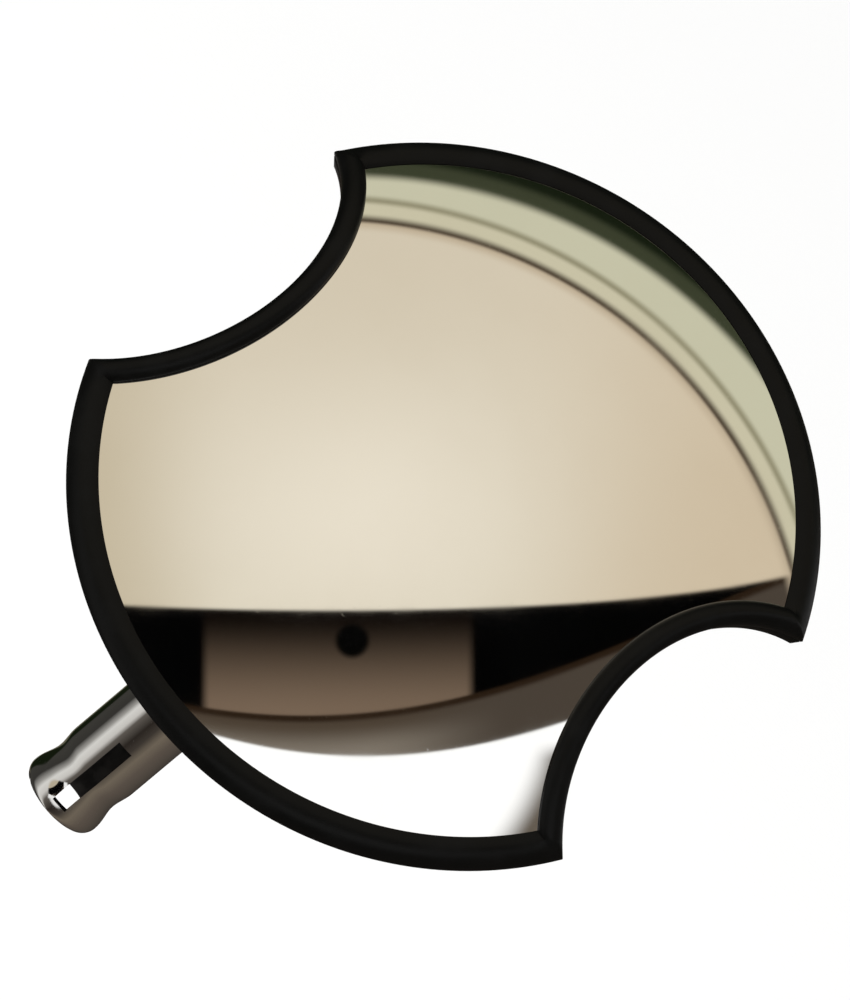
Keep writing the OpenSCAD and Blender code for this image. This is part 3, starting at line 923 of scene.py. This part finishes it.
        # the dark line and the ledge's front edge both curve up at their ends
        line = 0.28 * (a + 0.06) * (a + 0.06) - 0.044
        ledge_end = 0.35 * (a - 0.1) * (a - 0.1) - 0.15
        ledge = board.mix(board.smooth(e - line, -0.02, -0.1), (0.075, 0.055, 0.038), (0.21, 0.18, 0.145))
        ledge = board.mix(board.smooth(a, 0.1, 0.5), ledge, (0.07, 0.055, 0.042))
        shade = board.mix(board.smooth(e - ledge_end, -0.004, 0.004), (1.12, 1.12, 1.12), ledge)
        shade = board.mix(board.smooth(e - line, -0.02, -0.004), shade, (0.022, 0.012, 0.006))
        shade = board.mix(board.smooth(e - line, 0.002, 0.01), shade, wall)
        shade = board.mix(board.smooth(e, 0.243, 0.255), shade, ceiling)
        # bands of the far wall, seen at a low angle towards the upper edge, then its green foot
        above = board.smooth(e, 0.12, 0.3)
        for edge, soft, tone in ((0.132, 0.02, (0.56, 0.46, 0.33)), (0.112, 0.008, (0.07, 0.05, 0.032)),
                                 (0.09, 0.016, (0.62, 0.58, 0.42)), (0.035, 0.012, (0.3, 0.28, 0.18)),
                                 (0.012, 0.014, (0.6, 0.585, 0.43))):
            shade = board.mix(board.smooth(c, edge + soft, edge - soft) * above, shade, tone)
        foot = c + 0.09 * (a - 0.15)
        shade = board.mix(board.smooth(foot, -0.055, -0.1) * above, shade, (0.045, 0.052, 0.028))
        return board.mix(board.smooth(foot, -0.13, -0.17) * above, shade, (0.008, 0.012, 0.005))


class MIRROR_PT_panel(bpy.types.Panel):
    """The mirror's pieces, in the order they are made."""
    bl_idname = "MIRROR_PT_panel"
    bl_label = "Convex mirror"
    bl_space_type = "VIEW_3D"
    bl_region_type = "UI"
    bl_category = "Mirror"

    def draw(self, context):
        for group in ("head_sizes", "arm_sizes", "mirror_finishes"):
            box = self.layout.box()
            owner = getattr(context.scene, group)
            for name in owner.__annotations__:
                box.prop(owner, name)
        for operator in OPERATORS:
            self.layout.operator(operator.bl_idname)


OPERATORS = (MIRROR_OT_stage, MIRROR_OT_face, MIRROR_OT_edge_trim, MIRROR_OT_chrome_arm, MIRROR_OT_knob,
             MIRROR_OT_castings, MIRROR_OT_fittings, MIRROR_OT_back)
GROUPS = {"head_sizes": HeadSizes, "arm_sizes": ArmSizes, "mirror_finishes": MirrorFinishes}


def register():
    for made in (*GROUPS.values(), *OPERATORS, MIRROR_PT_panel):
        bpy.utils.register_class(made)
    for name, group in GROUPS.items():
        setattr(bpy.types.Scene, name, PointerProperty(type=group))


def unregister():
    for name in GROUPS:
        delattr(bpy.types.Scene, name)
    for made in reversed((*GROUPS.values(), *OPERATORS, MIRROR_PT_panel)):
        bpy.utils.unregister_class(made)


def main():
    register()
    for operator in OPERATORS:
        family, name = operator.bl_idname.split(".")
        getattr(getattr(bpy.ops, family), name)()


if __name__ == "__main__":
    main()
